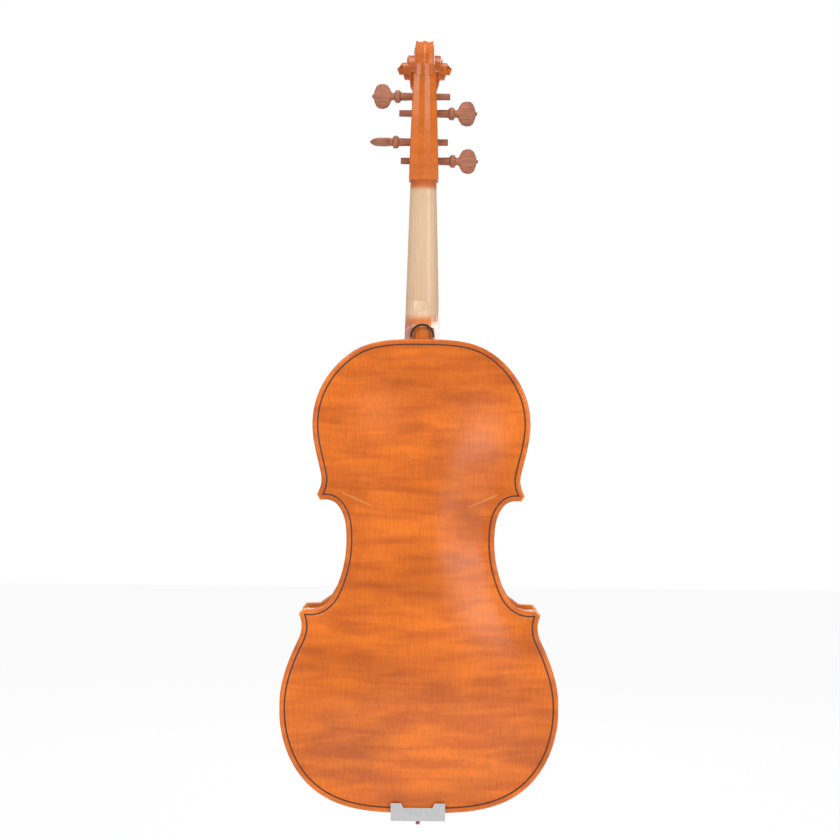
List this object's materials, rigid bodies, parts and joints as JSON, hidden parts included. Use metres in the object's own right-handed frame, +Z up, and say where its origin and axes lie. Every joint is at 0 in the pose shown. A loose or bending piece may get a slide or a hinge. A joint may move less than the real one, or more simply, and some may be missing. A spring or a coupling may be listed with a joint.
{
  "type": "viola",
  "caption": "Bowed string instrument with a carved hollow body, fluted scroll, turning pegs, strings, tailpiece and clamped chin rest.",
  "frame": {"origin": "the seat under the pegbox's chin, by which the viola hangs in a wall hook", "axes": "+Z up along the viola towards the scroll, +Y from the back plate to the strings, +X to the bass side"},
  "size_m": [0.2414, 0.106, 0.69],
  "materials": {
    "bare_maple": "oiled bare maple",
    "chrome": "polished",
    "ebony": "polished ebony",
    "gut": "black cord",
    "maple": "varnished flamed maple, glossy",
    "purfling": "inlaid dark strips",
    "rosewood": "matte rosewood",
    "spruce": "varnished spruce, glossy",
    "string": "wound wire",
    "willow": "unfinished"
  },
  "bodies": {
    "root": {"back_plate": "maple", "bass_bar": "willow", "belly_plate": "spruce", "block_bottom": "willow", "block_lower_corner_bass": "willow", "block_lower_corner_treble": "willow", "block_top": "willow", "block_upper_corner_bass": "willow", "block_upper_corner_treble": "willow", "bridge": "bare_maple", "button_crown": "ebony", "chin_rest": "ebony", "chinrest_foot": "chrome", "chinrest_stud_bass": "chrome", "chinrest_stud_treble": "chrome", "end_button": "rosewood", "fingerboard": "ebony", "lining_lower_bass_back": "willow", "lining_lower_bass_belly": "willow", "lining_lower_treble_back": "willow", "lining_lower_treble_belly": "willow", "lining_upper_bass_back": "willow", "lining_upper_bass_belly": "willow", "lining_upper_treble_back": "willow", "lining_upper_treble_belly": "willow", "lining_waist_bass_back": "willow", "lining_waist_bass_belly": "willow", "lining_waist_treble_back": "willow", "lining_waist_treble_belly": "willow", "neck_scroll": "bare_maple", "nut": "ebony", "purfling_back": "purfling", "purfling_belly": "purfling", "rib_lower_bass": "maple", "rib_lower_treble": "maple", "rib_upper_bass": "maple", "rib_upper_treble": "maple", "rib_waist_bass": "maple", "rib_waist_treble": "maple", "saddle": "ebony", "sound_post": "willow", "string_a": "string", "string_c": "string", "string_d": "string", "string_g": "string", "tailgut_bass": "gut", "tailgut_treble": "gut", "tailpiece": "ebony"},
    "peg_c": {"peg_c": "rosewood", "winding_c": "string"},
    "peg_a": {"peg_a": "rosewood", "winding_a": "string"},
    "peg_g": {"peg_g": "rosewood", "winding_g": "string"},
    "peg_d": {"peg_d": "rosewood", "winding_d": "string"},
    "barrel_bass": {"chinrest_barrel_bass": "chrome"},
    "barrel_treble": {"chinrest_barrel_treble": "chrome"}
  },
  "joints": [
    {"name": "peg_c_turn", "type": "hinge", "parent": "root", "child": "peg_c", "pos_m": [0, 0.00452, 0.0196], "axis": [1, 0, 0], "continuous": true},
    {"name": "peg_a_turn", "type": "hinge", "parent": "root", "child": "peg_a", "pos_m": [0, -0.00016, 0.0353], "axis": [1, 0, 0], "continuous": true},
    {"name": "peg_g_turn", "type": "hinge", "parent": "root", "child": "peg_g", "pos_m": [0, -0.00657, 0.0593], "axis": [1, 0, 0], "continuous": true},
    {"name": "peg_d_turn", "type": "hinge", "parent": "root", "child": "peg_d", "pos_m": [0, -0.0099, 0.0733], "axis": [1, 0, 0], "continuous": true},
    {"name": "barrel_bass_turn", "type": "hinge", "parent": "root", "child": "barrel_bass", "pos_m": [0.0205, -0.001, -0.5526], "axis": [0, 1, 0], "continuous": true},
    {"name": "barrel_treble_turn", "type": "hinge", "parent": "root", "child": "barrel_treble", "pos_m": [-0.0205, -0.001, -0.5526], "axis": [0, 1, 0], "continuous": true}
  ]
}
